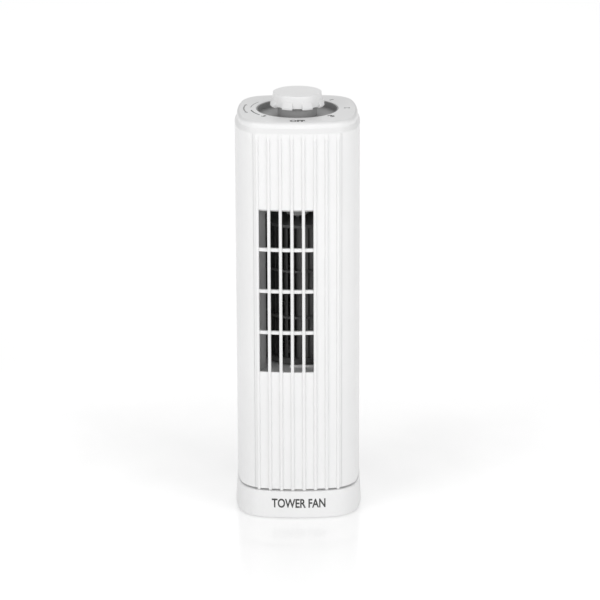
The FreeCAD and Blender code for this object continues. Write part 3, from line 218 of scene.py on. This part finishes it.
# name: (grey, roughness, grain size and grain depth in mm, spread of the grey, warmth)
PLASTICS = {
    "shell_plastic": (WHITE, 0.34, 0.5, 0.006, 0.02, 0.0),
    "grille_plastic": (WHITE, 0.33, 0.5, 0.006, 0.02, 0.0),
    "cap_plastic": (WHITE, 0.36, 0.5, 0.006, 0.02, 0.0),
    "knob_plastic": (0.85, 0.36, 0.5, 0.006, 0.02, 0.0),
    # rail_plastic is a brighter white than the shell as a painted highlight: the rail stands in for a
    # bright highlight line along the duct floor
    "rail_plastic": (0.88, 0.4, 0.5, 0.006, 0.02, 0.0),
    "pan_plastic": (0.7, 0.55, 0.35, 0.03, 0.02, 0.0),
    "nylon": (0.66, 0.5, 0.4, 0.01, 0.02, 0.02),
    "terminal_plastic": (0.68, 0.45, 0.4, 0.01, 0.02, 0.03),
    "well_plastic": (0.36, 0.5, 0.35, 0.02, 0.015, 0.0),
    "duct_plastic": (0.66, 0.45, 0.4, 0.015, 0.02, 0.0),
    "lining_plastic": (0.47, 0.45, 0.4, 0.015, 0.02, 0.0),
    "switch_plastic": (0.02, 0.4, 0.4, 0.01, 0.006, 0.0),
    "impeller_plastic": (0.085, 0.4, 0.4, 0.01, 0.01, 0.0),
    "hub_plastic": (0.6, 0.45, 0.4, 0.01, 0.02, 0.0),
}
# name: (colour, roughness, stretch of the fine lines along X, Y and Z)
METALS = {
    "screw_steel": ((0.55, 0.55, 0.57), 0.32, (1.0, 1.0, 8.0)),
    "spring_steel": ((0.30, 0.30, 0.32), 0.35, (1.0, 1.0, 8.0)),
    "shaft_steel": ((0.62, 0.62, 0.64), 0.25, (1.0, 1.0, 10.0)),
    "motor_can": ((0.5, 0.5, 0.52), 0.4, (8.0, 1.0, 1.0)),
    "bronze": ((0.45, 0.28, 0.14), 0.45, (1.0, 1.0, 4.0)),
    "rotor_metal": ((0.5, 0.5, 0.52), 0.35, (1.0, 1.0, 8.0)),
    "bracket_steel": ((0.55, 0.55, 0.57), 0.3, (8.0, 1.0, 1.0)),
}
RUBBERS = {
    "foot_rubber": 0.05,
    "gland_rubber": 0.7,
    "mount_rubber": 0.03,
    "lead_insulation": 0.6,
}


def make_materials():
    made = {name: moulded_plastic(name, *values) for name, values in PLASTICS.items()}
    made.update({name: metal(name, *values) for name, values in METALS.items()})
    made.update({name: rubber(name, grey) for name, grey in RUBBERS.items()})
    made["lamination_steel"] = laminations("lamination_steel")
    made["coil_wrap"] = tape("coil_wrap")
    return made


MATERIALS = make_materials()
INK = printed_ink("dial_ink", 0.035)
PALE_INK = printed_ink("dial_ink_pale", 0.34)
BADGE_INK = printed_ink("badge_ink", 0.05)


def dress_cad_nodes():
    """Each CAD node gets the material of its slot."""
    for entry in record["subparts"]:
        mesh = nodes[entry["node"]].data
        material = MATERIALS[entry["material_slot"]]
        if not mesh.materials:
            mesh.materials.append(material)
        for index in range(len(mesh.materials)):
            mesh.materials[index] = material


# ---- lettering, dial print and outlet lining ----------------------------------------

PRINT_LIFT = 0.04 * MM
DIAL_BOLDNESS = 0.045
BASE_BOLDNESS = 0.025
HEAD_HALF_WIDTH = 1.5        # arrow head, in widths of its arc
HEAD_LENGTH = 2.2


def add_object(name, data):
    obj = bpy.data.objects.new(name, data)
    bpy.context.scene.collection.objects.link(obj)
    return obj


def lettering(name, words, ink, boldness):
    """A text object about one unit high, centred on its origin."""
    curve = bpy.data.curves.new(name, "FONT")
    curve.body = words
    curve.align_x = "CENTER"
    curve.align_y = "CENTER"
    curve.resolution_u = 6
    curve.offset = boldness
    curve.materials.append(ink)
    return add_object(name, curve)


def print_text(name, words, radius, angle_degrees, height, width, ink, turn_degrees):
    """Flat lettering on the cap. The angle is from the front, positive to the right."""
    obj = lettering(name, words, ink, DIAL_BOLDNESS)
    bpy.context.view_layer.update()
    size = obj.dimensions.copy()
    angle = math.radians(angle_degrees)
    obj.location = (radius * math.sin(angle), -radius * math.cos(angle), CAP_TOP + PRINT_LIFT)
    obj.rotation_euler = (0.0, 0.0, math.radians(turn_degrees))
    obj.scale = (width / size.x, height / size.y, 1.0)
    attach(obj, "tower")


def print_arc(name, radius, start_degrees, end_degrees, width, ink, heads=False):
    """Flat arc round the dial, with arrow heads if asked. Angles are from the front."""
    steps = 24
    vertices = []
    faces = []

    def at(r, degrees):
        angle = math.radians(degrees)
        return (r * math.sin(angle), -r * math.cos(angle), CAP_TOP + PRINT_LIFT)

    for index in range(steps + 1):
        degrees = start_degrees + (end_degrees - start_degrees) * index / steps
        vertices += [at(radius - width / 2, degrees), at(radius + width / 2, degrees)]
    for index in range(steps):
        a = 2 * index
        faces.append((a, a + 1, a + 3, a + 2))
    if heads:
        for degrees, way in ((start_degrees, -1), (end_degrees, 1)):
            tip = math.degrees(HEAD_LENGTH * width / radius) * way
            count = len(vertices)
            vertices += [at(radius - HEAD_HALF_WIDTH * width, degrees),
                         at(radius + HEAD_HALF_WIDTH * width, degrees),
                         at(radius, degrees + tip)]
            faces.append((count, count + 1, count + 2))
    mesh = bpy.data.meshes.new(name)
    mesh.from_pydata(vertices, [], faces)
    mesh.materials.append(ink)
    obj = add_object(name, mesh)
    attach(obj, "tower")


def base_lettering():
    """Generic lettering on the front of the base, laid on its bulged and sloping face."""
    width = 45.0 * MM
    height = 8.0 * MM
    centre_z = base_low[2] + 0.42 * (base_high[2] - base_low[2])
    text = lettering("base_text", "TOWER FAN", BADGE_INK, BASE_BOLDNESS)
    bpy.context.view_layer.update()
    mesh = bpy.data.meshes.new_from_object(text)
    bpy.data.objects.remove(text)
    spans = [(min(v.co[axis] for v in mesh.vertices), max(v.co[axis] for v in mesh.vertices))
             for axis in (0, 1)]
    scales = [size / (high - low) for size, (low, high) in zip((width, height), spans)]
    middles = [(low + high) / 2 for low, high in spans]
    cover = nodes["base_cover"]
    tree = BVHTree.FromObject(cover, bpy.context.evaluated_depsgraph_get())
    to_cover = cover.matrix_world.inverted()
    inward = to_cover.to_3x3() @ Vector((0.0, 1.0, 0.0))
    start_y = base_low[1] - 50.0 * MM
    for vertex in mesh.vertices:
        across = (vertex.co.x - middles[0]) * scales[0]
        above = (vertex.co.y - middles[1]) * scales[1]
        hit = tree.ray_cast(to_cover @ Vector((across, start_y, centre_z + above)), inward)[0]
        place = cover.matrix_world @ hit
        vertex.co = (place.x, place.y - PRINT_LIFT, place.z)
    obj = add_object("base_lettering", mesh)
    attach(obj, "base")


def outlet_lining():
    """Guide wall behind the first column of slots, at the left end of the duct."""
    low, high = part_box("scroll_wall")
    wheel_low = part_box("impeller")[0]
    front_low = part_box("front_grille")[0]
    beside_wheel = 4.6 * MM
    behind_front = 8.6 * MM
    slope_across = 5.6 * MM
    slope_back = 14.0 * MM
    hook = 2.5 * MM
    thickness = 1.2 * MM
    clearance = 0.1 * MM
    left = wheel_low[0] - beside_wheel
    right = left + slope_across
    front = front_low[1] + behind_front
    back = front + slope_back
    outer = [(left, front), (right, back), (right + hook * 0.2, back + hook)]
    inner = [(x - thickness, y + thickness * 0.4) for x, y in reversed(outer)]
    plan = outer + inner
    count = len(plan)
    vertices = [(x, y, z) for z in (low[2] + clearance, high[2] - clearance) for x, y in plan]
    faces = [(i, (i + 1) % count, count + (i + 1) % count, count + i) for i in range(count)]
    faces += [tuple(reversed(range(count))), tuple(range(count, 2 * count))]
    mesh = bpy.data.meshes.new("outlet_lining")
    mesh.from_pydata(vertices, [], faces)
    mesh.materials.append(MATERIALS["lining_plastic"])
    obj = add_object("outlet_lining", mesh)
    rounding = obj.modifiers.new("rounding", "BEVEL")
    rounding.width = 0.3 * MM
    rounding.segments = 2
    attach(obj, "tower")


def dial_print():
    """OFF at the front, speeds to the right and the swing marks to the left."""
    print_text("dial_off", "OFF", 44.4 * MM, 0.0, 6.0 * MM, 12.4 * MM, INK, 0.0)
    print_text("dial_right_3", "3", 39.4 * MM, 45.0, 6.0 * MM, 4.6 * MM, INK, 45.0)
    print_text("dial_right_2", "2", 41.0 * MM, 90.0, 5.0 * MM, 3.4 * MM, PALE_INK, 90.0)
    print_text("dial_right_1", "1", 40.5 * MM, 135.0, 4.4 * MM, 2.0 * MM, PALE_INK, 135.0)
    print_text("dial_left_3", "3", 38.6 * MM, -45.0, 4.2 * MM, 3.2 * MM, INK, -45.0)
    print_arc("dial_bracket_front", 38.4 * MM, -80.0, -53.0, 1.1 * MM, INK)
    print_arc("dial_bracket_back", 38.4 * MM, -124.0, -94.0, 0.8 * MM, PALE_INK)
    print_arc("dial_swing", 44.0 * MM, -104.0, -72.0, 1.2 * MM, PALE_INK, heads=True)


# ---- stage --------------------------------------------------------------------------

def make_floor():
    """Pale floor that glows a little, more away from the base than beside it; the weaker glow beside the
    base is painted shade of the base on the floor.
    """
    half = 6.0
    corners = [(-half, -half, 0), (half, -half, 0), (half, half, 0), (-half, half, 0)]
    mesh = bpy.data.meshes.new("floor")
    mesh.from_pydata(corners, [], [(0, 1, 2, 3)])
    n = Nodes("floor_board")
    colour = n.ramp(n.noise(3.0), tint(0.90), tint(0.92))
    distance = n.tree.nodes.new("ShaderNodeVectorMath")
    distance.operation = "LENGTH"
    n.link(n.coordinates, distance.inputs[0])
    # glow is weaker near the base than far from it: painted shade of the base on the floor
    glow = n.spread(distance.outputs["Value"], FLOOR_GLOW_IN_PAINTED_SHADE, FLOOR_GLOW_FAR, GLOW_START, GLOW_END)
    n.link(glow, n.shader.inputs["Emission Strength"])
    gloss = n.spread(n.noise(20.0), 0.12, 0.18)
    mesh.materials.append(n.finish(colour, gloss, Emission_Color=(1.0, 1.0, 1.0, 1.0)))
    floor = add_object("floor", mesh)


def area_light(name, place, target, size, power):
    data = bpy.data.lights.new(name, "AREA")
    data.shape = "RECTANGLE"
    data.size, data.size_y = size
    data.energy = power
    light = add_object(name, data)
    light.location = place
    light.rotation_euler = (Vector(target) - Vector(place)).to_track_quat("-Z", "Y").to_euler()


# name: (azimuth from the front and to the right, elevation, distance, size, power)
LIGHTS = {
    "front_softbox": (4.0, 12.0, 3.2, 1.2, 9.0),
    "right_softbox": (44.0, 18.0, 2.6, 1.2, 15.5),
    "left_softbox": (-44.0, 18.0, 2.6, 1.2, 16.5),
    "back_softbox": (180.0, 35.0, 2.6, 1.6, 9.3),
}
WORLD = 0.55
# the floor glows less near the base than far from it: painted shade of the base on the floor
FLOOR_GLOW_IN_PAINTED_SHADE = 0.2
FLOOR_GLOW_FAR = 0.34
GLOW_START = 0.06            # distances from the axis between which the glow grows
GLOW_END = 0.32


def make_lights():
    world = bpy.data.worlds.new("studio")
    world.use_nodes = True
    background = world.node_tree.nodes["Background"]
    background.inputs["Color"].default_value = (1.0, 1.0, 1.0, 1.0)
    background.inputs["Strength"].default_value = WORLD
    bpy.context.scene.world = world
    target = (0.0, 0.0, 0.18)
    for name, (azimuth, elevation, distance, size, power) in LIGHTS.items():
        turn = math.radians(azimuth)
        rise = math.radians(elevation)
        place = (distance * math.cos(rise) * math.sin(turn), -distance * math.cos(rise) * math.cos(turn),
                 target[2] + distance * math.sin(rise))
        area_light(name, place, target, (size, size), power)


def set_view():
    settings = bpy.context.scene.view_settings
    settings.view_transform = "Standard"
    settings.look = "None"
    settings.exposure = 0.0
    settings.gamma = 1.0


make_camera()
dress_cad_nodes()
dial_print()
base_lettering()
outlet_lining()
make_floor()
make_lights()
set_view()
